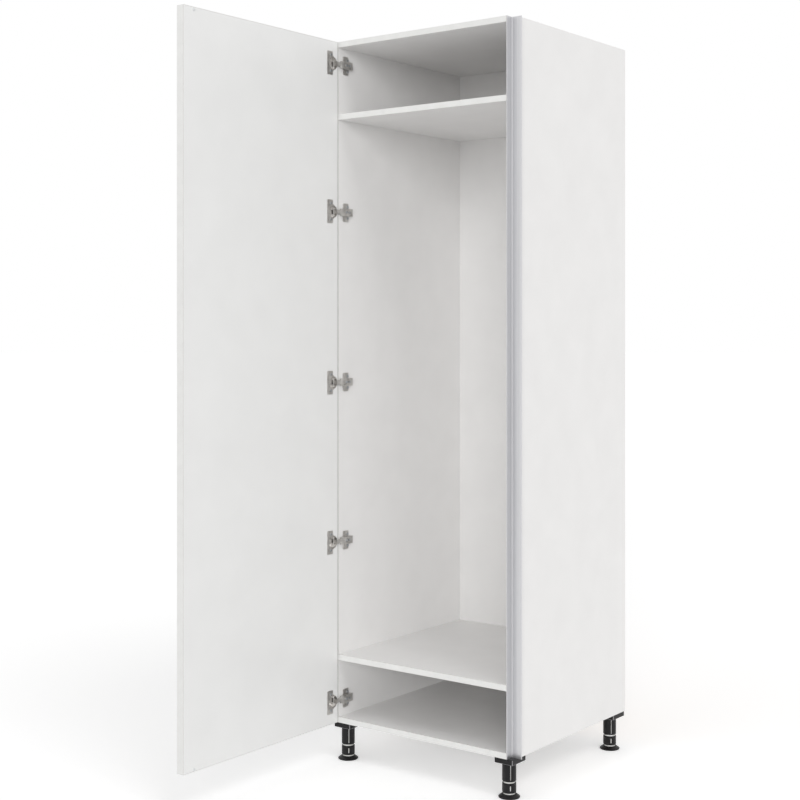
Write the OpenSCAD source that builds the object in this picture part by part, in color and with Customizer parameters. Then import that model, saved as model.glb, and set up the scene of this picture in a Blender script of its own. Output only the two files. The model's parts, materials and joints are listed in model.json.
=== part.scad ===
// Tall housing unit for a built-in fridge: a board carcase with two fixed shelves, a full-height
// door on five concealed hinges, a recessed grip profile and four levelling legs.
// X runs to the right, Y to the rear and Z up. The origin is on the floor, midway between the
// sides and in the plane of the carcase's front edges. The door stands open at 90 degrees.

/* [Carcase] */
// Width over the two sides
unit_w = 600; // [500:10:900]
// Depth from the front edges to the rear
unit_d = 600; // [560:10:700]
// Height of the carcase without its legs
carcase_h = 1920; // [1760:32:2176]
// Thickness of the carcase boards
board_t = 16; // [16:1:22]
// Thickness of the back panel
back_t = 3; // [3:0.5:6]
// How far the back panel reaches into each side
rebate = 8; // [7:0.5:11]
// Thickness of the edge bands
edge_t = 1; // [0.5:0.1:2]
// Clear height of the upper compartment
upper_clear = 188; // [160:1:300]
// Clear height of the lower compartment
lower_clear = 160; // [140:1:300]
// Width of the ventilation cut-outs
vent_w = 140; // [100:10:300]
// Depth of the ventilation cut-outs
vent_d = 60; // [30:5:80]

/* [Door] */
// Thickness of the door
door_t = 22; // [19:0.5:26]
// How far the door stops short of the carcase's outline on each side
door_reveal = 1.5; // [1:0.1:2]
// Gap between the closed door and the front edges
door_gap = 2.5; // [2.3:0.1:4]
// Diameter of the door buffers
buffer_d = 8; // [5:0.5:10]
// Height of the door buffers
buffer_h = 2; // [1:0.1:2.2]
// Distance of the buffers from the grip profile
buffer_inset = 18; // [10:1:60]

/* [Hinges] */
// Distance of the end hinges from the carcase's top and bottom
hinge_end = 64; // [56:1:90]
// Height of the second hinge above the carcase's bottom
hinge_2 = 512; // [400:16:600]
// Height of the third hinge above the carcase's bottom
hinge_3 = 960; // [840:16:1080]
// Height of the fourth hinge above the carcase's bottom
hinge_4 = 1440; // [1300:16:1480]
// Pin centre to the door's edge
pivot_edge = 6.5; // [6.4:0.1:6.8]
// Pin centre to the door's inner face
pivot_depth = 9; // [8.8:0.1:10]
// Diameter of the cup
cup_d = 35; // [34:0.5:38]
// Depth of the cup
cup_depth = 13; // [12.5:0.1:15]
// Wall and floor of the cup
cup_wall = 0.5; // [0.4:0.05:0.6]
// Door material left between the cup and the door's edge
cup_edge = 3; // [2.8:0.1:3.2]
// Thickness of the cup's flange
flange_t = 1.2; // [0.8:0.1:1.3]
// Height of the flange
flange_h = 66; // [60:1:72]
// Width of the flange
flange_w = 24; // [20:1:28]
// Distance of the flange's screws from each other
flange_screws = 45; // [44:0.5:52]
// Diameter of the hinge pin
pin_d = 2.4; // [2:0.1:2.6]
// Height of the eye around the pin
eye_h = 8.4; // [6:0.1:8.6]
// Height of the hook between the pin and the arm
hook_h = 11; // [9:0.5:11]
// Thickness of the hook where it leaves the cup
hook_t = 3; // [2:0.1:3.2]
// Width of the arm
arm_w = 21; // [19.5:0.5:24]
// Sheet thickness of the arm
arm_t = 2; // [1.5:0.1:2.5]
// Distance from the front edges at which the arm starts
arm_front = 3; // [2.5:0.5:4]
// Distance from the front edges at which the arm ends
arm_reach = 50; // [49:0.5:66]
// Height of the mounting plate's rail over the side
rail_h = 9; // [8.5:0.5:13]
// Width of the mounting plate's rail
rail_w = 16; // [12:0.5:16]
// Thickness of the mounting plate's wings
wing_t = 2.5; // [2:0.1:2.6]
// Height over the two wings
wing_h = 52; // [48:1:58]
// Width of a wing
wing_w = 23; // [22.5:0.5:30]
// Distance of the plate's screws from the front edges
system_line = 37; // [35:0.5:38]
// Distance of the plate's screws from each other
system_pitch = 32; // [31:0.5:34]

/* [Grip profile] */
// Width of the profile
grip_w = 32; // [28:0.5:36]
// How far it reaches beyond the right side
grip_over = 12; // [8:0.5:14]
// Depth of the finger recess
grip_d = 24; // [20:1:30]
// Wall of the profile
grip_wall = 2; // [1.5:0.1:3]
// Length of the rib that holds it in the side
grip_rib = 8; // [5:0.5:10]

/* [Legs] */
// Height of the legs as set
leg_h = 105; // [85:1:150]
// Width of the plate
plate_w = 56; // [50:1:60]
// Depth of the plate
plate_d = 64; // [58:1:70]
// Distance from the plate's front edge to the leg's axis
plate_lead = 28; // [26:1:32]
// Thickness of the plate
plate_t = 14; // [13:1:18]
// Distance from the carcase's outer face to the leg's axis
leg_inset = 29; // [29:1:60]
// Distance from the rear to the rear legs' axes
leg_rear = 40; // [38:1:70]
// Diameter of the tube and of the barrel
tube_d = 37; // [36:0.5:40]
// Diameter of the threaded stem
stem_d = 31; // [28:0.5:31.2]
// Pitch of the stem's thread
thread_pitch = 2.5; // [2:0.25:3]
// Height of the barrel
barrel_h = 26; // [20:1:28]
// Gap between the tube and the barrel as set
barrel_gap = 4; // [3.5:0.5:5]
// Diameter of the foot
foot_d = 57; // [50:1:60]
// Height of the foot
foot_h = 10; // [8:0.5:12]
// Gap between the barrel and the foot
foot_gap = 3; // [2:0.5:4]

/* [Fittings] */
// Diameter of the cam locks
cam_d = 15; // [12:0.5:16]
// Distance from the board's end to the cam's centre
cam_setback = 24; // [22:0.5:34]
// Distance of the front cams from the front edges
cam_front = 72; // [66:1:120]
// Distance of the rear cams from the rear
cam_rear = 112; // [100:1:160]
// Distance of the dowels from the cams
dowel_step = 32; // [20:1:60]
// Diameter of the dowels
dowel_d = 8; // [6:0.5:10]
// Length of the dowels
dowel_l = 30; // [24:1:34]
// Depth of the dowels and bolts in the sides
side_grip = 11; // [8:0.5:12]
// Diameter of the cam bolts
bolt_d = 5; // [4:0.1:5.5]
// Diameter of the back panel's nails
nail_d = 2.6; // [2:0.1:3]
// Length of the back panel's nails
nail_l = 20; // [15:1:25]
// Width of the wall bracket
bracket_w = 60; // [52:1:70]
// Length of the wall bracket's legs
bracket_l = 40; // [32:1:50]
// Sheet thickness of the wall bracket
bracket_t = 2; // [1.5:0.1:3]
// Distance from the right side's inner face to the middle of the wall bracket
bracket_inset = 104; // [84:1:140]
// Diameter of the wall bracket's holes for the wall screws
wall_hole_d = 6; // [5:0.1:7]

/* [Clearances] */
// Between pieces that are pushed together
fit_gap = 0.2; // [0.1:0.05:0.3]
// Around dowels, bolts, screws and nails
bore_gap = 0.05; // [0.02:0.01:0.1]
// Around the hinge pin, on the radius
pin_gap = 0.05; // [0.02:0.01:0.1]
// Around the stem in its tube and its foot, on the radius
stem_gap = 0.4; // [0.3:0.05:0.5]

/* [Hidden] */
$fn = 48;
eps = 1;
sliver = 0.01;

board_colour = "#f4f3ef";
band_colour = "#e2e1dc";
steel_colour = "#a9abad";
grip_colour = "#c8c8ca";
leg_colour = "#1f1e1f";
stem_colour = "#e9e7e2";
wood_colour = "#d8b98a";

// Carcase
inner_w = unit_w - 2 * board_t;
side_inner = inner_w / 2;
deck_d = unit_d - back_t;
carcase_top = leg_h + carcase_h;
deck_top = carcase_top - board_t;
deck_upper = deck_top - upper_clear - board_t;
deck_lower = leg_h + board_t + lower_clear;
deck_levels = [leg_h, deck_lower, deck_upper, deck_top];

// Fittings between the boards
cam_ys = [cam_front, unit_d - cam_rear];
dowel_ys = [cam_front + dowel_step, unit_d - cam_rear - dowel_step];
cam_reach = 4.5;
cam_depth = board_t / 2 + cam_reach;
cam_slot = 1.2;
bolt_head_d = 6.4;
bolt_head_l = 3;
bolt_collar_l = 2;
bolt_bore_gap = 0.4;
bolt_bore_d = bolt_head_d + 2 * bolt_bore_gap;
nail_head_d = 6;
nail_head_t = 1.2;
nail_inset = 104;
nail_deck_x = side_inner - nail_inset;
nail_rows = 8;
nail_end = 60;
nail_side_x = side_inner + rebate / 2;

// Grip profile
grip_x = unit_w / 2 + grip_over - grip_w;
grip_back = grip_d + grip_wall;
rib_x = unit_w / 2 - board_t / 2;

// Wall bracket
bracket_x = side_inner - bracket_inset;
bracket_back = deck_d;
wall_hole_pitch = 32;
wall_hole_margin = 16;
wall_hole_drop = bracket_l - wall_hole_margin;
bracket_screw_d = 4;
bracket_screw_l = 14;
bracket_screw_margin = 12;
bracket_screw_y = bracket_back - bracket_l + bracket_screw_margin;

// Door, hung on the pins' line
pivot_x = -unit_w / 2 + door_reveal + pivot_edge;
pivot_y = -door_gap - pivot_depth;
door_face = pivot_x + pivot_depth;
door_edge = pivot_y + pivot_edge;
door_w = unit_w - 2 * door_reveal;
door_h = carcase_h - 2 * door_reveal;
door_z = leg_h + door_reveal;
buffer_y = pivot_y - (grip_x - buffer_inset - pivot_x);

// Hinges, each about its own pin centre
hinge_levels = [hinge_end, hinge_2, hinge_3, hinge_4, carcase_h - hinge_end];
cup_y = pivot_edge - cup_edge - cup_d / 2;
cup_inner_d = cup_d - 2 * cup_wall;
cup_rim = 0.6;
sheet_corner_r = 3;
flange_setback = 13;
flange_y = cup_y - flange_setback;
shoulder_lead = 12;
shoulder_y = cup_y + shoulder_lead;
shoulder_low = 12;
shoulder_flare = 6;
cup_screw_setback = 9.5;
cup_screw_y = cup_y - cup_screw_setback;
cup_screw_d = 3.6;
cup_screw_l = 12;
cup_head_d = 7;
cup_head_t = 1.4;
pin_l = 16.8;
eye_wall = 0.9;
eye_d = pin_d + 2 * eye_wall;
ear_gap = 0.4;
hook_root = (pin_d + eye_wall) / 2;
hook_lift = 1.5;
hook_offset = pivot_depth + hook_lift;
hook_near = 0.8;
hook_far = 1.7;
side_x = side_inner * -1 - pivot_x;
arm_start = arm_front - pivot_y;
arm_end = arm_reach - pivot_y;
arm_lift = 0.3;
arm_base = side_x + wing_t + arm_lift;
arm_top = side_x + rail_h + arm_t;
arm_nose = 11;
arm_nose_w = 20;
rail_lead = 1;
rail_tail = 5;
rail_start = arm_start + arm_nose + rail_lead;
rail_end = arm_end - rail_tail;
screw_row = system_line - pivot_y;
wing_lead = 18.5;
wing_start = screw_row - wing_lead;
plate_screw_d = 5;
plate_head_d = 7.6;
plate_head_t = 1.6;
arm_screw_lead = 8;
arm_screw_tail = 9;
arm_screw_rows = [rail_start + arm_screw_lead, rail_end - arm_screw_tail];
arm_screw_d = 5;
arm_head_d = 7.2;
arm_head_t = 1.8;
arm_screw_grip = 6;
arm_slot_l = 10;
cross_l = 4.2;
cross_w = 0.9;
cross_depth = 0.9;

// Legs, each about its own axis
leg_x = unit_w / 2 - leg_inset;
leg_front_y = plate_lead;
leg_rear_y = unit_d - leg_rear;
barrel_z = foot_h + foot_gap;
tube_z = barrel_z + barrel_h + barrel_gap;
plate_z = leg_h - plate_t;
plate_bevel = 1.5;
stem_bore_r = stem_d / 2 + stem_gap;
stem_foot_z = 4;
foot_chamfer = 1.5;
foot_brow = 2;
foot_ledge = 1;
foot_lip = 0.6;
stem_clear = 5;
stem_top = plate_z - stem_clear;
stem_inner_d = 24;
thread_depth = 0.6;
tube_cap = 1;
tube_bore_top = plate_z - tube_cap;
tube_chamfer = 1;
slit_w = 2.6;
slit_low = 4;
slit_high = 5;
spigot_d = 28;
spigot_h = 10;
peg_d = 10;
peg_h = 11;
peg_inner = 20;
peg_outer = 4;
peg_y = 20;
leg_slots = 4;
slot_w = 5;
slot_h = 14;
barrel_shoulder = 2.2;

module at_hinge(n) {
    translate([pivot_x, pivot_y, leg_h + hinge_levels[n - 1]]) children();
}

module at_every_hinge() {
    for (n = [1 : len(hinge_levels)]) at_hinge(n) children();
}

// A straight hole or shaft along X from x0 to x1
module bar_x(x0, x1, d) {
    translate([min(x0, x1), 0, 0]) rotate([0, 90, 0]) cylinder(h = abs(x1 - x0), d = d);
}

// The same along Y
module bar_y(y0, y1, d) {
    translate([0, min(y0, y1), 0]) rotate([-90, 0, 0]) cylinder(h = abs(y1 - y0), d = d);
}

module round_rect(w, h, r) {
    square([w - 2 * r, h], center = true);
    square([w, h - 2 * r], center = true);
    for (x = [-1, 1], y = [-1, 1]) translate([x * (w / 2 - r), y * (h / 2 - r)]) circle(r = r);
}

// Places its children with local X and Y turned to the world's Y and Z, and local Z to X
module on_side() {
    multmatrix([[0, 0, 1, 0], [1, 0, 0, 0], [0, 1, 0, 0], [0, 0, 0, 1]]) children();
}

// Joinery

module at_dowels() {
    for (s = [-1, 1], y = dowel_ys, z = deck_levels)
        translate([s * side_inner, y, z + board_t / 2]) scale([s, 1, 1]) children();
}

module at_bolts() {
    for (s = [-1, 1], y = cam_ys, z = deck_levels)
        translate([s * side_inner, y, z + board_t / 2]) scale([s, 1, 1]) children();
}

module side_bores(s) {
    for (z = deck_levels) {
        for (y = dowel_ys) translate([s * side_inner, y, z + board_t / 2])
            bar_x(-s * eps, s * (side_grip + fit_gap), dowel_d + 2 * bore_gap);
        for (y = cam_ys) translate([s * side_inner, y, z + board_t / 2])
            bar_x(-s * eps, s * (side_grip + fit_gap), bolt_d + 2 * bore_gap);
    }
}

module nail_shafts() {
    for (x = [-1, 1] * nail_side_x, i = [0 : nail_rows - 1])
        translate([x, 0, leg_h + nail_end + i * (carcase_h - 2 * nail_end) / (nail_rows - 1)])
            children();
    for (x = [-1, 1] * nail_deck_x, z = deck_levels) translate([x, 0, z + board_t / 2]) children();
}

module nail_bores() {
    nail_shafts() bar_y(unit_d - nail_l - fit_gap, unit_d + eps, nail_d + 2 * bore_gap);
}

// Carcase boards

module side_board(s) {
    front = s < 0 ? edge_t : grip_back;
    x0 = s < 0 ? -unit_w / 2 : side_inner;
    difference() {
        translate([x0, front, leg_h]) cube([board_t, unit_d - front, carcase_h]);
        translate([s * side_inner - rebate, deck_d, leg_h - eps])
            cube([2 * rebate, back_t + eps, carcase_h + 2 * eps]);
        side_bores(s);
        nail_bores();
    }
}

module side_left() {
    color(board_colour) difference() {
        side_board(-1);
        at_every_hinge() for (z = [-1, 1] * system_pitch / 2) translate([0, screw_row, z])
            bar_x(side_x + eps, side_x - side_grip - fit_gap, plate_screw_d + 2 * bore_gap);
    }
}

module side_right() {
    color(board_colour) difference() {
        side_board(1);
        translate([rib_x - grip_wall / 2 - fit_gap, grip_back - eps, leg_h - eps])
            cube([grip_wall + 2 * fit_gap, grip_rib + fit_gap + eps, carcase_h + 2 * eps]);
    }
}

// A horizontal board at height z, with its cams opening upwards or downwards
module deck(z, cams_up) {
    cam_z = cams_up ? z + board_t - cam_depth : z - eps;
    color(board_colour) difference() {
        translate([-side_inner, edge_t, z]) cube([inner_w, deck_d - edge_t, board_t]);
        translate([grip_x - fit_gap, -eps, z - eps])
            cube([inner_w, grip_back + fit_gap + eps, board_t + 2 * eps]);
        translate([-vent_w / 2, deck_d - vent_d, z - eps])
            cube([vent_w, vent_d + eps, board_t + 2 * eps]);
        for (s = [-1, 1]) {
            for (y = cam_ys) {
                translate([s * (side_inner - cam_setback), y, cam_z])
                    cylinder(h = cam_depth + eps, d = cam_d);
                translate([0, y, z + board_t / 2])
                    bar_x(s * (side_inner - cam_setback), s * (side_inner + eps), bolt_bore_d);
            }
            for (y = dowel_ys) translate([0, y, z + board_t / 2])
                bar_x(s * (side_inner - dowel_l + side_grip - fit_gap), s * (side_inner + eps),
                    dowel_d + 2 * bore_gap);
        }
        nail_bores();
        peg_bores();
        bracket_screw_shafts(bracket_screw_d + 2 * bore_gap, fit_gap);
    }
}

module top_panel() { deck(deck_top, true); }
module shelf_upper() { deck(deck_upper, true); }
module shelf_lower() { deck(deck_lower, false); }
module bottom_panel() { deck(leg_h, false); }

module back_panel() {
    panel_w = inner_w + 2 * (rebate - fit_gap);
    color(board_colour) difference() {
        translate([-panel_w / 2, deck_d, leg_h]) cube([panel_w, back_t, carcase_h]);
        nail_bores();
        nail_shafts() bar_y(unit_d - nail_head_t, unit_d + eps, nail_head_d + 2 * bore_gap);
        wall_screw_holes(deck_d - eps, unit_d + eps);
    }
}

module carcase_edging() {
    band_w = grip_x - fit_gap + side_inner;
    color(band_colour) {
        translate([-unit_w / 2, 0, leg_h]) cube([board_t, edge_t, carcase_h]);
        for (z = deck_levels) translate([-side_inner, 0, z]) cube([band_w, edge_t, board_t]);
    }
}

// The profile's plan: an arm from the front to the rear, and one along the side's cut-back edge
module grip_plan() {
    end_x = unit_w / 2 + grip_over;
    r = grip_wall / 2;
    translate([grip_x, r]) square([grip_wall, grip_back - r]);
    translate([grip_x + r, r]) circle(r = r);
    translate([grip_x, grip_d]) square([grip_w - r, grip_wall]);
    translate([end_x - r, grip_d + r]) circle(r = r);
    translate([rib_x - r, grip_back - r]) square([grip_wall, grip_rib + r]);
    difference() {
        translate([grip_x + grip_wall - r, grip_d - grip_wall]) square(grip_wall + r);
        translate([grip_x + 2 * grip_wall, grip_d - grip_wall]) circle(r = grip_wall);
        translate([grip_x + 2 * grip_wall, 0]) square([grip_wall, grip_d]);
    }
}

module grip_profile() {
    color(grip_colour) translate([0, 0, leg_h]) linear_extrude(carcase_h) grip_plan();
}

// Fasteners of the carcase

module cam_locks() {
    body_h = cam_depth - fit_gap;
    color(steel_colour) for (s = [-1, 1], y = cam_ys, i = [0 : 3]) {
        up = i > 1;
        z = deck_levels[i] + (up ? board_t - cam_depth + fit_gap : 0);
        face = up ? z + body_h : z;
        difference() {
            translate([s * (side_inner - cam_setback), y, z])
                cylinder(h = body_h, d = cam_d - 2 * bore_gap);
            translate([0, y, deck_levels[i] + board_t / 2])
                bar_x(s * (side_inner - cam_setback - bolt_head_l), s * side_inner, bolt_bore_d);
            translate([s * (side_inner - cam_setback), y, face]) {
                cube([cam_d / 2, cam_slot, 2 * cam_slot], center = true);
                cube([cam_slot, cam_d / 2, 2 * cam_slot], center = true);
            }
        }
    }
}

module cam_bolts() {
    color(steel_colour) at_bolts() {
        bar_x(-cam_setback, side_grip, bolt_d);
        bar_x(-cam_setback - bolt_head_l + fit_gap, -cam_setback, bolt_head_d);
        bar_x(-bolt_collar_l, 0, bolt_bore_d - 2 * fit_gap);
    }
}

module dowels() {
    color(wood_colour) at_dowels() bar_x(-dowel_l + side_grip, side_grip, dowel_d);
}

module back_nails() {
    color(steel_colour) nail_shafts() {
        bar_y(unit_d - nail_l, unit_d, nail_d);
        bar_y(unit_d - nail_head_t, unit_d, nail_head_d);
    }
}

module wall_screw_holes(y0, y1) {
    for (s = [-1, 1]) translate([bracket_x + s * wall_hole_pitch / 2, 0, deck_top - wall_hole_drop])
        bar_y(y0, y1, wall_hole_d);
}

module bracket_screw_shafts(d, extra) {
    for (s = [-1, 1])
        translate([bracket_x + s * wall_hole_pitch / 2, bracket_screw_y, deck_top - bracket_t])
            cylinder(h = bracket_screw_l + extra, d = d);
}

module wall_bracket() {
    color(steel_colour) difference() {
        union() {
            translate([bracket_x - bracket_w / 2, bracket_back - bracket_l, deck_top - bracket_t])
                cube([bracket_w, bracket_l, bracket_t]);
            translate([bracket_x - bracket_w / 2, bracket_back - bracket_t, deck_top - bracket_l])
                cube([bracket_w, bracket_t, bracket_l]);
        }
        wall_screw_holes(bracket_back - bracket_t - eps, bracket_back + eps);
        translate([0, 0, -eps]) bracket_screw_shafts(bracket_screw_d + 2 * bore_gap, 0);
    }
}

module bracket_screws() {
    color(steel_colour) {
        bracket_screw_shafts(bracket_screw_d, 0);
        for (s = [-1, 1]) translate([bracket_x + s * wall_hole_pitch / 2, bracket_screw_y,
                deck_top - bracket_t - plate_head_t])
            difference() {
                cylinder(h = plate_head_t, d = plate_head_d);
                cross_recess();
            }
    }
}

// A cross cut into a screw's head, at the origin and facing down
module cross_recess() {
    cube([cross_l, cross_w, 2 * cross_depth], center = true);
    cube([cross_w, cross_l, 2 * cross_depth], center = true);
}

// Door

module door_panel() {
    color(board_colour) difference() {
        translate([door_face - door_t, door_edge - door_w + edge_t, door_z + edge_t])
            cube([door_t, door_w - 2 * edge_t, door_h - 2 * edge_t]);
        at_every_hinge() {
            translate([0, cup_y, 0])
                bar_x(pivot_depth - cup_depth - fit_gap, pivot_depth + eps, cup_d + 2 * bore_gap);
            cup_screw_shafts(cup_screw_d + 2 * bore_gap, fit_gap);
        }
    }
}

module door_edging() {
    color(band_colour) translate([door_face - door_t, door_edge - door_w, door_z]) {
        cube([door_t, edge_t, door_h]);
        translate([0, door_w - edge_t, 0]) cube([door_t, edge_t, door_h]);
        translate([0, edge_t, 0]) cube([door_t, door_w - 2 * edge_t, edge_t]);
        translate([0, edge_t, door_h - edge_t]) cube([door_t, door_w - 2 * edge_t, edge_t]);
    }
}

module door_buffers() {
    color(band_colour) for (z = [leg_h + board_t / 2, carcase_top - board_t / 2])
        translate([0, buffer_y, z]) bar_x(door_face, door_face + buffer_h, buffer_d);
}

// Hinges

module flange_plan() {
    translate([flange_y, 0]) round_rect(flange_w, flange_h, sheet_corner_r);
    translate([cup_y, 0]) circle(d = cup_d + 2 * cup_rim);
    polygon([
        [cup_y, -flange_h / 2 + shoulder_low], [shoulder_y, -hook_h / 2 - shoulder_flare],
        [shoulder_y, hook_h / 2 + shoulder_flare], [cup_y, flange_h / 2 - shoulder_low]
    ]);
}

module cup_screw_shafts(d, extra) {
    for (z = [-1, 1] * flange_screws / 2) translate([0, cup_screw_y, z])
        bar_x(pivot_depth + flange_t - cup_screw_l - extra, pivot_depth + flange_t + eps, d);
}

// The ears stand on the cup's floor and hold the pin's ends
module cup_ears() {
    ear_z = hook_h / 2 + ear_gap;
    for (s = [-1, 1]) scale([1, 1, s]) translate([0, 0, ear_z]) {
        cylinder(h = cup_d / 2, d = eye_d);
        translate([pivot_depth - cup_depth, -eye_d / 2, 0])
            cube([cup_depth - pivot_depth, eye_d + cup_d, cup_d / 2]);
    }
}

module hinge_cup(n) {
    color(steel_colour) at_hinge(n) difference() {
        union() {
            translate([0, cup_y, 0]) bar_x(pivot_depth - cup_depth, pivot_depth, cup_d);
            translate([pivot_depth, 0, 0]) on_side() linear_extrude(flange_t) flange_plan();
        }
        difference() {
            translate([0, cup_y, 0])
                bar_x(pivot_depth - cup_depth + cup_wall, pivot_depth + cup_d, cup_inner_d);
            cup_ears();
        }
        translate([pivot_depth, shoulder_y, -hook_h / 2 - 2 * ear_gap])
            cube([cup_d, cup_d, hook_h + 4 * ear_gap]);
        cup_screw_shafts(cup_screw_d + 2 * bore_gap, 0);
        cylinder(h = pin_l + 2 * bore_gap, d = pin_d + 2 * bore_gap, center = true);
    }
}

module hinge_pins() {
    color(steel_colour) at_every_hinge() cylinder(h = pin_l, d = pin_d, center = true);
}

// The arm's block, which widens and rises behind its nose
module arm_block() {
    nose_end = arm_start + arm_nose;
    intersection() {
        translate([arm_base, 0, 0]) on_side() linear_extrude(arm_top - arm_base) polygon([
            [arm_start, -arm_nose_w / 2], [nose_end, -arm_w / 2], [arm_end, -arm_w / 2],
            [arm_end, arm_w / 2], [nose_end, arm_w / 2], [arm_start, arm_nose_w / 2]
        ]);
        linear_extrude(arm_w + eps, center = true) polygon([
            [arm_base - eps, arm_start - eps], [hook_offset + hook_t, arm_start - eps],
            [hook_offset + hook_t, arm_start], [arm_top, nose_end], [arm_top + eps, nose_end],
            [arm_top + eps, arm_end + eps], [arm_base - eps, arm_end + eps]
        ]);
    }
}

// The rear screw sits in a slot, in which the door is set in depth
module hinge_arm(n) {
    channel_w = rail_w + 2 * fit_gap;
    slot_d = arm_screw_d + 2 * bore_gap;
    color(steel_colour) at_hinge(n) difference() {
        union() {
            cylinder(h = eye_h, d = eye_d, center = true);
            translate([hook_root, -hook_far, -hook_h / 2])
                cube([hook_offset + hook_t - hook_root, hook_far + hook_near, hook_h]);
            translate([hook_offset, -hook_far, -hook_h / 2])
                cube([hook_t, arm_start + hook_t + hook_far, hook_h]);
            arm_block();
        }
        cylinder(h = eye_h + eps, d = pin_d + 2 * pin_gap, center = true);
        translate([0, arm_start + arm_nose, -channel_w / 2])
            cube([arm_top - arm_t, arm_end, channel_w]);
        translate([0, arm_screw_rows[0], 0]) bar_x(arm_base, arm_top + eps, slot_d);
        translate([arm_base, arm_screw_rows[1], 0]) on_side()
            linear_extrude(arm_top) round_rect(arm_slot_l, slot_d, slot_d / 2 - sliver);
    }
}

module mounting_plate(n) {
    color(steel_colour) at_hinge(n) difference() {
        union() {
            translate([side_x, wing_start + wing_w / 2, 0]) on_side()
                linear_extrude(wing_t) round_rect(wing_w, wing_h, sheet_corner_r);
            translate([side_x, rail_start, -rail_w / 2])
                cube([rail_h, rail_end - rail_start, rail_w]);
        }
        for (z = [-1, 1] * system_pitch / 2) translate([0, screw_row, z])
            bar_x(side_x - eps, side_x + wing_t + eps, plate_screw_d + 2 * bore_gap);
        for (y = arm_screw_rows) translate([0, y, 0])
            bar_x(side_x + rail_h - arm_screw_grip, side_x + rail_h + eps,
                arm_screw_d + 2 * bore_gap);
    }
}

// A screw along -X whose head sits on the plane x = face
module screw_x(face, shaft_d, shaft_l, head_d, head_t) {
    difference() {
        bar_x(face, face + head_t, head_d);
        translate([face + head_t, 0, 0]) rotate([0, 90, 0]) cross_recess();
    }
    bar_x(face - shaft_l, face, shaft_d);
}

module cup_screws() {
    color(steel_colour) at_every_hinge() for (z = [-1, 1] * flange_screws / 2)
        translate([0, cup_screw_y, z])
            screw_x(pivot_depth + flange_t, cup_screw_d, cup_screw_l, cup_head_d, cup_head_t);
}

module plate_screws() {
    color(steel_colour) at_every_hinge() for (z = [-1, 1] * system_pitch / 2)
        translate([0, screw_row, z]) screw_x(side_x + wing_t, plate_screw_d,
            wing_t + side_grip, plate_head_d, plate_head_t);
}

module arm_screws() {
    color(steel_colour) at_every_hinge() for (y = arm_screw_rows) translate([0, y, 0])
        screw_x(arm_top, arm_screw_d, arm_t + arm_screw_grip - fit_gap, arm_head_d, arm_head_t);
}

// Legs: sx is -1 on the left and 1 on the right, and y is the axis's distance from the front

module at_leg(sx, y) {
    translate([sx * leg_x, y, 0]) children();
}

// The pegs that hold a plate in the bottom board, larger by a gap and longer by some depth below
module pegs(sx, gap, below) {
    for (x = [-sx * peg_inner, sx * peg_outer], y = [-1, 1] * peg_y)
        translate([x, y, leg_h - below])
            cylinder(h = peg_h + 2 * gap + below, d = peg_d + 2 * gap);
}

module peg_bores() {
    for (sx = [-1, 1], y = [leg_front_y, leg_rear_y]) at_leg(sx, y) pegs(sx, bore_gap, eps);
}

module bevelled_outline(w) {
    polygon([
        [-w / 2 + plate_bevel, 0], [w / 2 - plate_bevel, 0], [w / 2, plate_bevel],
        [w / 2, plate_t], [-w / 2, plate_t], [-w / 2, plate_bevel]
    ]);
}

// A block whose lower edges are bevelled on all four sides
module plate_block() {
    intersection() {
        rotate([90, 0, 0]) linear_extrude(plate_d, center = true) bevelled_outline(plate_w);
        rotate([90, 0, 90]) linear_extrude(plate_w, center = true) bevelled_outline(plate_d);
    }
}

module leg_plate(sx, y) {
    color(leg_colour) at_leg(sx, y) {
        difference() {
            translate([0, plate_d / 2 - plate_lead, plate_z]) plate_block();
            translate([0, 0, plate_z - eps])
                cylinder(h = spigot_h + eps + fit_gap, d = spigot_d + 2 * bore_gap);
        }
        pegs(sx, 0, 0);
    }
}

// The slots and slits face the plate's corners
module at_leg_slots() {
    for (i = [0 : leg_slots - 1]) rotate([0, 0, 45 + i * 360 / leg_slots]) children();
}

module leg_tube(sx, y) {
    r = tube_d / 2;
    slit_z = tube_z + slit_low;
    color(leg_colour) at_leg(sx, y) difference() {
        rotate_extrude() polygon([
            [stem_bore_r, tube_z], [r - tube_chamfer, tube_z], [r, tube_z + tube_chamfer],
            [r, plate_z - tube_chamfer], [r - tube_chamfer, plate_z], [spigot_d / 2, plate_z],
            [spigot_d / 2, plate_z + spigot_h], [0, plate_z + spigot_h], [0, tube_bore_top],
            [stem_bore_r, tube_bore_top]
        ]);
        at_leg_slots() translate([stem_d / 2 - eps, -slit_w / 2, slit_z])
            cube([r, slit_w, plate_z - slit_high - slit_z]);
    }
}

// The thread is drawn as rings, from the foot's rim up to the stem's top
module leg_stem(sx, y) {
    r = stem_d / 2;
    threads = floor((stem_top - foot_h) / thread_pitch) - 1;
    ring = [for (i = [0 : threads - 1], k = [0 : 1])
        [r - k * thread_depth, foot_h + (i + k / 2 + 0.25) * thread_pitch]];
    color(stem_colour) at_leg(sx, y) rotate_extrude() polygon(concat(
        [[stem_inner_d / 2, stem_foot_z + stem_gap], [r, stem_foot_z + stem_gap]],
        ring,
        [[r, stem_top], [stem_inner_d / 2, stem_top]]));
}

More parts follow.
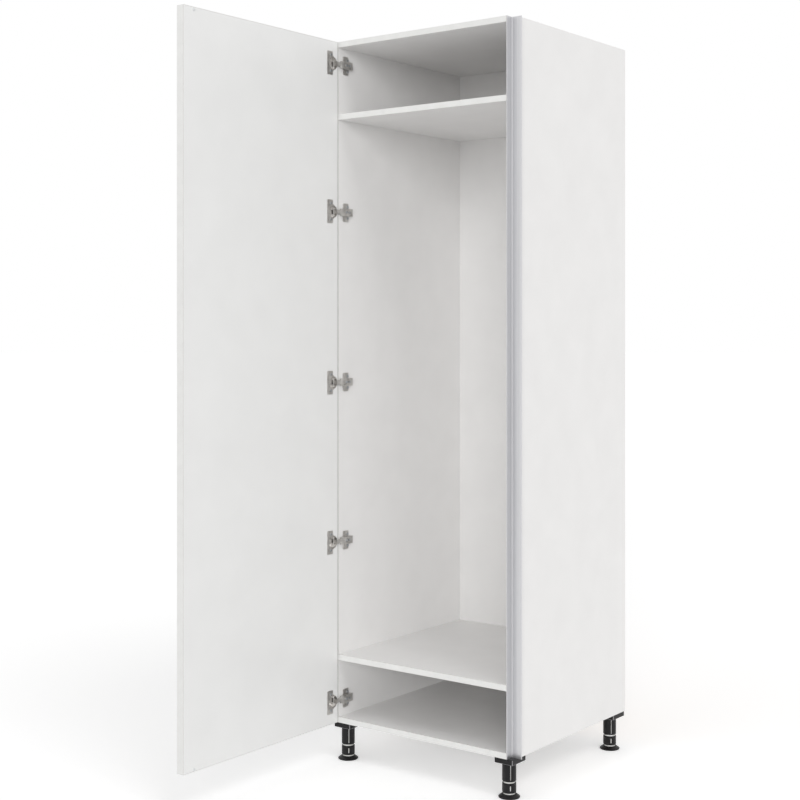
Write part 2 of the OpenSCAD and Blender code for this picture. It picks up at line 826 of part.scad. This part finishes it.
module leg_barrel(sx, y) {
    r = tube_d / 2;
    bore_r = stem_d / 2 + bore_gap;
    color(leg_colour) at_leg(sx, y) difference() {
        rotate_extrude() intersection() {
            union() {
                translate([0, barrel_z + barrel_shoulder]) square([r, barrel_h - 2 * barrel_shoulder]);
                translate([0, barrel_z]) square([r - barrel_shoulder, barrel_h]);
                for (z = [barrel_shoulder, barrel_h - barrel_shoulder])
                    translate([r - barrel_shoulder, barrel_z + z]) circle(r = barrel_shoulder);
            }
            translate([bore_r, barrel_z]) square([r, barrel_h]);
        }
        at_leg_slots() translate([stem_d / 2, 0, barrel_z + barrel_h / 2]) on_side()
            linear_extrude(r) round_rect(slot_w, slot_h, slot_w / 2 - sliver);
    }
}

module leg_foot(sx, y) {
    rim_r = foot_d / 2;
    neck_r = tube_d / 2 + foot_ledge;
    color(leg_colour) at_leg(sx, y) rotate_extrude() polygon([
        [0, 0], [rim_r - foot_chamfer, 0], [rim_r, foot_chamfer], [rim_r, 2 * foot_chamfer],
        [rim_r - foot_brow, 3 * foot_chamfer], [neck_r, foot_h - foot_lip],
        [neck_r - foot_lip, foot_h], [stem_bore_r, foot_h], [stem_bore_r, stem_foot_z],
        [0, stem_foot_z]
    ]);
}

side_left();
side_right();
top_panel();
bottom_panel();
shelf_upper();
shelf_lower();
back_panel();
grip_profile();
carcase_edging();
door_panel();
door_edging();
door_buffers();
hinge_cup(1);  // hinge_cup_1
hinge_cup(2);  // hinge_cup_2
hinge_cup(3);  // hinge_cup_3
hinge_cup(4);  // hinge_cup_4
hinge_cup(5);  // hinge_cup_5
hinge_arm(1);  // hinge_arm_1
hinge_arm(2);  // hinge_arm_2
hinge_arm(3);  // hinge_arm_3
hinge_arm(4);  // hinge_arm_4
hinge_arm(5);  // hinge_arm_5
mounting_plate(1);  // mounting_plate_1
mounting_plate(2);  // mounting_plate_2
mounting_plate(3);  // mounting_plate_3
mounting_plate(4);  // mounting_plate_4
mounting_plate(5);  // mounting_plate_5
hinge_pins();
cup_screws();
plate_screws();
arm_screws();
cam_locks();
cam_bolts();
dowels();
back_nails();
wall_bracket();
bracket_screws();
leg_plate(-1, leg_front_y);  // leg_plate_front_left
leg_plate(1, leg_front_y);  // leg_plate_front_right
leg_plate(-1, leg_rear_y);  // leg_plate_rear_left
leg_plate(1, leg_rear_y);  // leg_plate_rear_right
leg_tube(-1, leg_front_y);  // leg_tube_front_left
leg_tube(1, leg_front_y);  // leg_tube_front_right
leg_tube(-1, leg_rear_y);  // leg_tube_rear_left
leg_tube(1, leg_rear_y);  // leg_tube_rear_right
leg_stem(-1, leg_front_y);  // leg_stem_front_left
leg_stem(1, leg_front_y);  // leg_stem_front_right
leg_stem(-1, leg_rear_y);  // leg_stem_rear_left
leg_stem(1, leg_rear_y);  // leg_stem_rear_right
leg_barrel(-1, leg_front_y);  // leg_barrel_front_left
leg_barrel(1, leg_front_y);  // leg_barrel_front_right
leg_barrel(-1, leg_rear_y);  // leg_barrel_rear_left
leg_barrel(1, leg_rear_y);  // leg_barrel_rear_right
leg_foot(-1, leg_front_y);  // leg_foot_front_left
leg_foot(1, leg_front_y);  // leg_foot_front_right
leg_foot(-1, leg_rear_y);  // leg_foot_rear_left
leg_foot(1, leg_rear_y);  // leg_foot_rear_right
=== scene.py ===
"""Dresses the tall fridge housing: banded white boards, five concealed hinges, an anodised grip
profile and four black levelling legs, in a white studio. Lengths are in metres."""

import json
import math

import bmesh
import bpy
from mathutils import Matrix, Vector

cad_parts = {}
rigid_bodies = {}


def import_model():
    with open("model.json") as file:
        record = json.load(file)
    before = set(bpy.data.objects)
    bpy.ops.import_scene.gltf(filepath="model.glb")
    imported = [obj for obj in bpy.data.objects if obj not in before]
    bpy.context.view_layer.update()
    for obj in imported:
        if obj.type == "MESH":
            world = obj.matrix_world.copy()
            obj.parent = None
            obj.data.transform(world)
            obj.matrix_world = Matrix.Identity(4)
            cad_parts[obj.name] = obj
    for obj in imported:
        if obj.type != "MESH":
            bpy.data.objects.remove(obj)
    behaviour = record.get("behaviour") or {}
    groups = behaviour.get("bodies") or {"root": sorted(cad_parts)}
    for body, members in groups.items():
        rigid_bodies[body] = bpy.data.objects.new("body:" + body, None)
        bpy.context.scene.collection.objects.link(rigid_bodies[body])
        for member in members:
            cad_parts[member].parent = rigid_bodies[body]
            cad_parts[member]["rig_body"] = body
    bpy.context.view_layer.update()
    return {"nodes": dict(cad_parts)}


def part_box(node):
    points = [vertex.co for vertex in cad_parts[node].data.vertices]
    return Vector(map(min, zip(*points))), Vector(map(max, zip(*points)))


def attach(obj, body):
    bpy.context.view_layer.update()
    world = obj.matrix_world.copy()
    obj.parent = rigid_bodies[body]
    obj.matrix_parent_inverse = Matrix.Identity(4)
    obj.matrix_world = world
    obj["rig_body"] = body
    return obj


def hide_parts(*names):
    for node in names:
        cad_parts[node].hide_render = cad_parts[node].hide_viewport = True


MM = 0.001

# The level camera, with its turn in degrees
CAMERA_PLACE = (2.2825, -3.0657, 1.2251)
CAMERA_TURN = 37.444
CAMERA_LENS = 63.7
CAMERA_SHIFT = -0.0932
# Strength of the even light from all sides, and of the sky as the camera sees it
AMBIENT = 0.56
BACKDROP = 1.0
# The floor bounces light as the first tone and is seen in the second, with a glow added
FLOOR_RADIUS = 60.0
FLOOR_CORNERS = 64
FLOOR_BOUNCE = 0.95
FLOOR_WHITE = 1.0
FLOOR_GLOW = 0.27
# Name, strength, azimuth from the front towards the right, elevation and width, in degrees, and
# whether metal mirrors the lamp
LAMPS = [
    ("key", 0.16, 68, 50, 25, True),
    ("fill", 0.40, 33, 10, 30, False),
]

# Colours as they look on screen
BOARD_WHITE = "#F2F1F0"
DOOR_WHITE = "#F3F3F2"
BAND_WHITE = "#E9E9E7"
CHIP_TONES = ["#9C7D57", "#B8986F", "#CBB088", "#DCC7A2"]
BACK_TONES = ["#A58765", "#B99A76"]
GLUE_TONES = ["#8B8275", "#9A9183"]
GRIP_GREY = "#DADADC"
NICKEL = "#DBD9D6"
ZINC = "#C6C9CC"
LEG_BLACK = "#171617"
# A painted highlight: the lighter grey of the leg plates' bevels and upright corners
LEG_PAINTED_HIGHLIGHT = "#8A898B"
STEM_WHITE = "#ECEAE4"
BEECH_TONES = ["#C99F6C", "#DDBA8A"]
BUFFER_CLEAR = "#E4E6E6"
WHITE = (1, 1, 1, 1)

# The range that most values of a noise lie in, and the stretch of a ramp that its tones share
NOISE_LOW = 0.3
NOISE_HIGH = 0.7
RAMP_START = 0.25
RAMP_SPAN = 0.5

# Corners nearer than this become one, and faces at less than this angle, in radians, one face
WELD = 0.001 * MM
FLAT = 0.002
# Faces that meet at more than these angles, in degrees, get a rounded edge, or are shaded apart
EDGE_ANGLE = 30
SHADE_ANGLE = 42
# Edges up to this length, such as those of the facets around a bore, stay sharp
SHORT_EDGE = 4 * MM
# How far a point may lie from a face or corner of its node's box and still count as on it
NEAR_FACE = 0.05 * MM
NEAR_CORNER = 0.1 * MM
# How much of a face's normal lies along an axis. A face across the axis has more than SQUARE, an
# arris from ARRIS_LEAN to SQUARE, and the lower bevel of a leg's plate from BEVEL_LEAN to SQUARE.
SQUARE = 0.9
ARRIS_LEAN = 0.3
BEVEL_LEAN = 0.2
# Widths of the roundings of a board's edges and of a plate's upright corners and other edges
ARRIS = 0.2 * MM
PLATE_CORNER = 1.5 * MM
PLATE_EDGE = 0.3 * MM

HINGES = range(1, 6)
CORNERS = ["front_left", "front_right", "rear_left", "rear_right"]


def channels(code):
    """The red, green and blue of a screen colour such as #A0B0C0, from 0 to 255."""
    return [int(code[i:i + 2], 16) for i in (1, 3, 5)]


def linear(code):
    """A screen colour as linear RGBA."""
    parts = [c / 255 for c in channels(code)]
    return (*(p / 12.92 if p < 0.04045 else ((p + 0.055) / 1.055) ** 2.4 for p in parts), 1.0)


def shade(code, share):
    """The screen colour made darker, or lighter for a share above 1."""
    parts = [min(255, round(c * share)) for c in channels(code)]
    return "#{:02X}{:02X}{:02X}".format(*parts)


# Materials


class Finish:
    """A Principled surface, with textures laid out in the piece's own metres."""

    def __init__(self, name, colour, roughness, metallic=0.0):
        self.material = bpy.data.materials.new(name)
        self.material.use_nodes = True
        self.tree = self.material.node_tree
        self.surface = self.tree.nodes["Principled BSDF"]
        self.surface.inputs["Base Color"].default_value = linear(colour)
        self.surface.inputs["Roughness"].default_value = roughness
        self.surface.inputs["Metallic"].default_value = metallic
        self.place = self.tree.nodes.new("ShaderNodeTexCoord").outputs["Object"]
        self.normal = None

    def node(self, kind, inputs):
        made = self.tree.nodes.new("ShaderNode" + kind)
        for key, value in inputs.items():
            if isinstance(value, bpy.types.NodeSocket):
                self.tree.links.new(value, made.inputs[key])
            else:
                made.inputs[key].default_value = value
        return made

    def scaled(self, size, stretch):
        """The place on the piece, counted in steps of this size, longer where stretch says."""
        scale = tuple(1 / (size * s) for s in stretch)
        return self.node("Mapping", {"Vector": self.place, "Scale": scale}).outputs["Vector"]

    def noise(self, size, detail=2, stretch=(1, 1, 1)):
        """Cloudy values from 0 to 1 whose blots are about this size."""
        place = self.scaled(size, stretch)
        made = self.node("TexNoise", {"Vector": place, "Scale": 1.0, "Detail": detail})
        return made.outputs["Fac"]

    def cells(self, size, stretch):
        """Cells of about this size: a random colour for each, and the distance from its middle."""
        place = self.scaled(size, stretch)
        return self.node("TexVoronoi", {"Vector": place, "Scale": 1.0}).outputs

    def mix(self, first, second, share):
        """A value between two others, with this share of the second."""
        return self.node("Mix", {0: share, 2: first, 3: second}).outputs[0]

    def colour(self, factor, tones):
        """Colours the surface between several tones, by a value from 0 to 1."""
        made = self.node("ValToRGB", {"Fac": factor})
        ramp = made.color_ramp
        while len(ramp.elements) < len(tones):
            ramp.elements.new(0.5)
        for i, tone in enumerate(tones):
            ramp.elements[i].position = RAMP_START + RAMP_SPAN * i / (len(tones) - 1)
            ramp.elements[i].color = linear(tone)
        self.tree.links.new(made.outputs["Color"], self.surface.inputs["Base Color"])

    def roughness(self, factor, low, high):
        spread = self.node("MapRange", {
            "Value": factor, "From Min": NOISE_LOW, "From Max": NOISE_HIGH,
            "To Min": low, "To Max": high})
        self.tree.links.new(spread.outputs["Result"], self.surface.inputs["Roughness"])

    def bump(self, height, depth, strength):
        """Adds relief of this depth on top of the relief so far."""
        inputs = {"Height": height, "Distance": depth, "Strength": strength}
        if self.normal:
            inputs["Normal"] = self.normal
        self.normal = self.node("Bump", inputs).outputs["Normal"]
        self.tree.links.new(self.normal, self.surface.inputs["Normal"])


def melamine(name, colour, roughness):
    """Pearl-textured white board face: a fine grain with a faint slow drift in tone."""
    finish = Finish(name, colour, roughness)
    finish.colour(finish.noise(90 * MM, detail=4), [shade(colour, 0.985), colour])
    grain = finish.noise(0.9 * MM, detail=3)
    finish.roughness(grain, low=roughness - 0.06, high=roughness + 0.08)
    finish.bump(grain, depth=0.05 * MM, strength=0.5)
    finish.bump(finish.noise(9 * MM, detail=1), depth=0.05 * MM, strength=0.35)
    return finish.material


def lacquer(name, colour):
    """Satin door face: smoother than the carcase, with a slight orange peel."""
    finish = Finish(name, colour, roughness=0.32)
    finish.colour(finish.noise(140 * MM, detail=3), [shade(colour, 0.985), colour])
    peel = finish.noise(2.2 * MM)
    finish.roughness(peel, low=0.28, high=0.36)
    finish.bump(peel, depth=0.03 * MM, strength=0.5)
    return finish.material


def edge_band(name, colour):
    """Thermoplastic band: faint lines along its length from the extrusion."""
    finish = Finish(name, colour, roughness=0.38)
    finish.colour(finish.noise(30 * MM, detail=3), [shade(colour, 0.97), colour])
    lines = finish.noise(0.5 * MM, stretch=(1, 60, 60))
    finish.roughness(lines, low=0.33, high=0.45)
    finish.bump(lines, depth=0.02 * MM, strength=0.5)
    return finish.material


def chipboard(name, across):
    """Sawn edge of a board: pressed chips of several tones that lie flat across this axis."""
    thin = 0.8
    broad = 1.7
    finish = Finish(name, CHIP_TONES[1], roughness=0.85)
    chips = finish.cells(1.1 * MM, [thin if axis == across else broad for axis in range(3)])
    tone = finish.node("SeparateColor", {"Color": chips["Color"]}).outputs["Red"]
    dust = finish.noise(0.5 * MM, detail=4)
    finish.colour(finish.mix(tone, dust, share=0.55), CHIP_TONES)
    finish.bump(chips["Distance"], depth=0.15 * MM, strength=0.5)
    finish.bump(dust, depth=0.15 * MM, strength=0.6)
    return finish.material


def glue_line(name):
    """The arris of a coated board, where its paper, its core and the glue of a band show."""
    finish = Finish(name, GLUE_TONES[0], roughness=0.6)
    finish.colour(finish.noise(4 * MM, detail=3), GLUE_TONES)
    return finish.material


def hardboard(name):
    """Uncoated rear of the back panel: matted brown fibres."""
    finish = Finish(name, BACK_TONES[0], roughness=0.8)
    fibres = finish.noise(1.4 * MM, detail=5, stretch=(1, 1, 3))
    clouds = finish.noise(70 * MM, detail=3)
    finish.colour(finish.mix(fibres, clouds, share=0.5), BACK_TONES)
    finish.bump(fibres, depth=0.08 * MM, strength=0.6)
    return finish.material


def anodised(name, colour):
    """Matt anodised extrusion: fine lines up the profile in tone, gloss and relief."""
    finish = Finish(name, colour, roughness=0.36, metallic=1.0)
    lines = finish.noise(0.7 * MM, detail=3, stretch=(1, 1, 900))
    bands = finish.noise(5 * MM, stretch=(1, 1, 400))
    finish.colour(finish.mix(lines, bands, share=0.4), [shade(colour, 0.93), shade(colour, 1.03)])
    finish.roughness(lines, low=0.3, high=0.42)
    finish.bump(lines, depth=0.03 * MM, strength=0.6)
    return finish.material


def plated(name, colour, roughness, blot):
    """Plated steel: soft patches in gloss and tone over a faint press texture."""
    finish = Finish(name, colour, roughness, metallic=1.0)
    patches = finish.noise(blot, detail=3)
    finish.colour(patches, [shade(colour, 0.88), shade(colour, 1.06)])
    finish.roughness(patches, low=roughness - 0.06, high=roughness + 0.1)
    finish.bump(finish.noise(0.6 * MM), depth=0.02 * MM, strength=0.6)
    return finish.material


def moulded(name, colour, low, high, grain, gloss=0.5):
    """Moulded plastic: spark-eroded grain with satin patches, from low to high in roughness."""
    finish = Finish(name, colour, roughness=low)
    finish.colour(finish.noise(12 * MM, detail=3), [shade(colour, 0.9), shade(colour, 1.12)])
    finish.surface.inputs["Specular IOR Level"].default_value = gloss
    texture = finish.noise(grain, detail=3)
    finish.roughness(texture, low, high)
    finish.bump(texture, depth=0.06 * MM, strength=0.5)
    return finish.material


def beech(name):
    """Dowel wood, with its grain along the dowels."""
    finish = Finish(name, BEECH_TONES[0], roughness=0.6)
    finish.colour(finish.noise(1.2 * MM, detail=3, stretch=(8, 1, 1)), BEECH_TONES)
    return finish.material


def buffer_plastic(name):
    """Soft clear plastic that lets a little light in."""
    finish = Finish(name, BUFFER_CLEAR, roughness=0.25)
    finish.surface.inputs["Subsurface Weight"].default_value = 0.4
    finish.surface.inputs["Subsurface Radius"].default_value = (2 * MM, 2 * MM, 2 * MM)
    finish.bump(finish.noise(1.5 * MM), depth=0.03 * MM, strength=0.5)
    return finish.material


# Meshes


def welded(node):
    """The CAD node's mesh with its corners joined and its flat faces whole."""
    mesh = bmesh.new()
    mesh.from_mesh(frame["nodes"][node].data)
    bmesh.ops.remove_doubles(mesh, verts=mesh.verts, dist=WELD)
    bmesh.ops.dissolve_limit(mesh, angle_limit=FLAT, verts=mesh.verts, edges=mesh.edges)
    for face in mesh.faces:
        face.material_index = 0
    return mesh


def sharp_edges(mesh, least=0.0):
    """The sharp edges that are longer than this."""
    return [e for e in mesh.edges
            if e.calc_length() > least and e.calc_face_angle(0) > math.radians(EDGE_ANGLE)]


def round_off(mesh, edges, width, segments=2, material=-1):
    """Rounds the edges. The new faces look like their neighbours, or get the material's number."""
    bmesh.ops.bevel(mesh, geom=edges, offset=width, segments=segments, profile=0.5,
                    affect="EDGES", clamp_overlap=True, material=material)


def publish(mesh, name, node_names, materials):
    """Makes the piece that stands for the CAD nodes, on their body, with even shading."""
    data = bpy.data.meshes.new(name)
    mesh.to_mesh(data)
    mesh.free()
    data.shade_smooth()
    data.set_sharp_from_angle(angle=math.radians(SHADE_ANGLE))
    for material in materials:
        data.materials.append(material)
    piece = bpy.data.objects.new(name, data)
    bpy.context.scene.collection.objects.link(piece)
    weigh = piece.modifiers.new("even shading", "WEIGHTED_NORMAL")
    weigh.keep_sharp = True
    weigh.weight = 100
    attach(piece, frame["nodes"][node_names[0]]["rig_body"])
    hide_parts(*node_names)


def softened(node, material, width, least=0.0, segments=2):
    """The CAD node with its sharp edges rounded."""
    mesh = welded(node)
    round_off(mesh, sharp_edges(mesh, least), width, segments)
    publish(mesh, node + "_finish", [node], [material])


def board(node, axis, faces, core, rear=None):
    """A board whose two large faces, across the axis, are coated, and whose edges show its core."""
    mesh = welded(node)
    low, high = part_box(node)
    round_off(mesh, sharp_edges(mesh, SHORT_EDGE), ARRIS, segments=1)
    coated, sawn, glued, backed = range(4)
    for face in mesh.faces:
        middle = face.calc_center_median()[axis]
        lean = abs(face.normal[axis])
        if lean > SQUARE and middle > high[axis] - NEAR_FACE:
            face.material_index = backed
        elif lean > SQUARE and middle < low[axis] + NEAR_FACE:
            face.material_index = coated
        elif ARRIS_LEAN < lean < SQUARE:
            face.material_index = glued
        else:
            face.material_index = sawn
    materials = [faces, core, look["glue_line"], rear or faces]
    publish(mesh, node + "_finish", [node], materials)


def leg_plate(node):
    """A leg's plate, whose bevels and upright corners are smoother and get a lighter colour as a
    painted highlight.
    """
    mesh = welded(node)
    low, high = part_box(node)
    middle = [(a + b) / 2 for a, b in zip(low, high)]
    painted_highlight = 1

    def at_corner(vertex):
        return all(abs(abs(vertex.co[i] - middle[i]) - (high[i] - low[i]) / 2) < NEAR_CORNER
                   for i in (0, 1))

    corners = [e for e in mesh.edges
               if abs(e.verts[0].co.z - e.verts[1].co.z) > SHORT_EDGE
               and all(at_corner(v) for v in e.verts)]
    round_off(mesh, corners, PLATE_CORNER, material=painted_highlight)
    # The lower bevels also get the painted highlight
    for face in mesh.faces:
        if -SQUARE < face.normal.z < -BEVEL_LEAN:
            face.material_index = painted_highlight
    round_off(mesh, sharp_edges(mesh, SHORT_EDGE), PLATE_EDGE)
    publish(mesh, node + "_finish", [node], [look["leg"], look["leg_painted_highlight"]])


# Studio


def make_camera():
    camera = bpy.data.objects.new("camera", bpy.data.cameras.new("camera"))
    bpy.context.scene.collection.objects.link(camera)
    camera.location = CAMERA_PLACE
    camera.rotation_euler = (math.radians(90), 0, math.radians(CAMERA_TURN))
    camera.data.lens = CAMERA_LENS
    camera.data.shift_y = CAMERA_SHIFT
    bpy.context.scene.camera = camera


def seen_directly(tree):
    """1 for camera, glossy and transmission rays, and 0 for the rays that light other things."""
    path = tree.nodes.new("ShaderNodeLightPath")
    total = path.outputs["Is Camera Ray"]
    for name in ("Is Glossy Ray", "Is Transmission Ray"):
        add = tree.nodes.new("ShaderNodeMath")
        add.operation = "MAXIMUM"
        tree.links.new(total, add.inputs[0])
        tree.links.new(path.outputs[name], add.inputs[1])
        total = add.outputs[0]
    return total


def make_world():
    """An even light from all sides, and a white sky behind the part."""
    world = bpy.data.worlds.new("studio")
    bpy.context.scene.world = world
    world.use_nodes = True
    tree = world.node_tree
    tree.nodes.clear()
    mix = tree.nodes.new("ShaderNodeMixShader")
    tree.links.new(seen_directly(tree), mix.inputs[0])
    for i, strength in enumerate((AMBIENT, BACKDROP)):
        sky = tree.nodes.new("ShaderNodeBackground")
        sky.inputs["Color"].default_value = WHITE
        sky.inputs["Strength"].default_value = strength
        tree.links.new(sky.outputs[0], mix.inputs[i + 1])
    out = tree.nodes.new("ShaderNodeOutputWorld")
    tree.links.new(mix.outputs[0], out.inputs["Surface"])


def make_lamps():
    for name, strength, azimuth, elevation, width, mirrored in LAMPS:
        lamp = bpy.data.objects.new(name, bpy.data.lights.new(name, "SUN"))
        bpy.context.scene.collection.objects.link(lamp)
        lamp.data.energy = strength * math.pi
        lamp.data.angle = math.radians(width)
        lamp.visible_glossy = mirrored
        a = math.radians(azimuth)
        e = math.radians(elevation)
        towards = Vector((math.sin(a) * math.cos(e), -math.cos(a) * math.cos(e), math.sin(e)))
        lamp.rotation_euler = towards.to_track_quat("Z", "Y").to_euler()


def make_floor():
    """A white floor that keeps the shadows, and bounces less light than it shows."""
    mesh = bmesh.new()
    bmesh.ops.create_circle(mesh, cap_ends=True, radius=FLOOR_RADIUS, segments=FLOOR_CORNERS)
    data = bpy.data.meshes.new("floor")
    mesh.to_mesh(data)
    mesh.free()
    floor = bpy.data.objects.new("floor", data)
    bpy.context.scene.collection.objects.link(floor)
    material = bpy.data.materials.new("floor")
    material.use_nodes = True
    tree = material.node_tree
    tree.nodes.clear()
    mix = tree.nodes.new("ShaderNodeMixShader")
    tree.links.new(seen_directly(tree), mix.inputs[0])
    mattes = []
    for tone in (FLOOR_BOUNCE, FLOOR_WHITE):
        matt = tree.nodes.new("ShaderNodeBsdfDiffuse")
        matt.inputs["Color"].default_value = (tone, tone, tone, 1)
        mattes.append(matt.outputs[0])
    glow = tree.nodes.new("ShaderNodeEmission")
    glow.inputs["Strength"].default_value = FLOOR_GLOW
    white = tree.nodes.new("ShaderNodeAddShader")
    tree.links.new(mattes[1], white.inputs[0])
    tree.links.new(glow.outputs[0], white.inputs[1])
    tree.links.new(mattes[0], mix.inputs[1])
    tree.links.new(white.outputs[0], mix.inputs[2])
    out = tree.nodes.new("ShaderNodeOutputMaterial")
    tree.links.new(mix.outputs[0], out.inputs["Surface"])
    data.materials.append(material)


make_camera()
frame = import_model()
bpy.context.scene.view_settings.view_transform = "Standard"

look = {
    "board": melamine("white_melamine", BOARD_WHITE, roughness=0.44),
    "door": lacquer("door_lacquer", DOOR_WHITE),
    "band": edge_band("edge_band", BAND_WHITE),
    "upright_core": chipboard("upright_chipboard", across=0),
    "level_core": chipboard("level_chipboard", across=2),
    "glue_line": glue_line("glue_line"),
    "back": hardboard("hardboard_rear"),
    "grip": anodised("anodised_grip", GRIP_GREY),
    "nickel": plated("nickel_plate", NICKEL, roughness=0.33, blot=14 * MM),
    "zinc": plated("zinc_plate", ZINC, roughness=0.34, blot=5 * MM),
    "leg": moulded("black_moulding", LEG_BLACK, low=0.32, high=0.46, grain=0.7 * MM, gloss=0.25),
    # Painted highlight for the plates' bevels and corners: a lighter grey colour, with a truly
    # lower roughness
    "leg_painted_highlight": moulded("black_moulding_painted_highlight", LEG_PAINTED_HIGHLIGHT, low=0.2, high=0.3, grain=0.7 * MM),
    "stem": moulded("white_moulding", STEM_WHITE, low=0.4, high=0.5, grain=1.0 * MM),
    "beech": beech("beech"),
    "buffer": buffer_plastic("buffer_plastic"),
}

# Carcase

for name in ("side_left", "side_right"):
    board(name, 0, look["board"], look["upright_core"])
for name in ("top_panel", "shelf_upper", "shelf_lower", "bottom_panel"):
    board(name, 2, look["board"], look["level_core"])
board("back_panel", 1, look["board"], look["back"], look["back"])
softened("carcase_edging", look["band"], width=0.4 * MM)
softened("grip_profile", look["grip"], width=0.25 * MM, least=0.5 * MM)
softened("cam_locks", look["zinc"], width=0.2 * MM)
softened("back_nails", look["zinc"], width=0.3 * MM)
softened("wall_bracket", look["zinc"], width=0.4 * MM, least=SHORT_EDGE)
softened("bracket_screws", look["zinc"], width=0.2 * MM)

# Door

board("door_panel", 0, look["door"], look["upright_core"])
softened("door_edging", look["band"], width=0.4 * MM)
softened("door_buffers", look["buffer"], width=0.8 * MM, segments=4)

# Hinges

for n in HINGES:
    softened(f"hinge_cup_{n}", look["nickel"], width=0.25 * MM)
    softened(f"hinge_arm_{n}", look["nickel"], width=0.5 * MM)
    softened(f"mounting_plate_{n}", look["nickel"], width=0.4 * MM)
for name in ("cup_screws", "plate_screws", "arm_screws"):
    softened(name, look["zinc"], width=0.2 * MM)

# Legs

for corner in CORNERS:
    leg_plate(f"leg_plate_{corner}")
    for part in ("tube", "barrel", "foot"):
        softened(f"leg_{part}_{corner}", look["leg"], width=0.3 * MM)

# Pieces that keep their CAD shape, with their finishes

kept = {"hinge_pins": "nickel", "cam_bolts": "zinc", "dowels": "beech"}
kept.update({f"leg_stem_{corner}": "stem" for corner in CORNERS})
for name, finish in kept.items():
    slots = frame["nodes"][name].data.materials
    slots.clear()
    slots.append(look[finish])

make_world()
make_lamps()
make_floor()
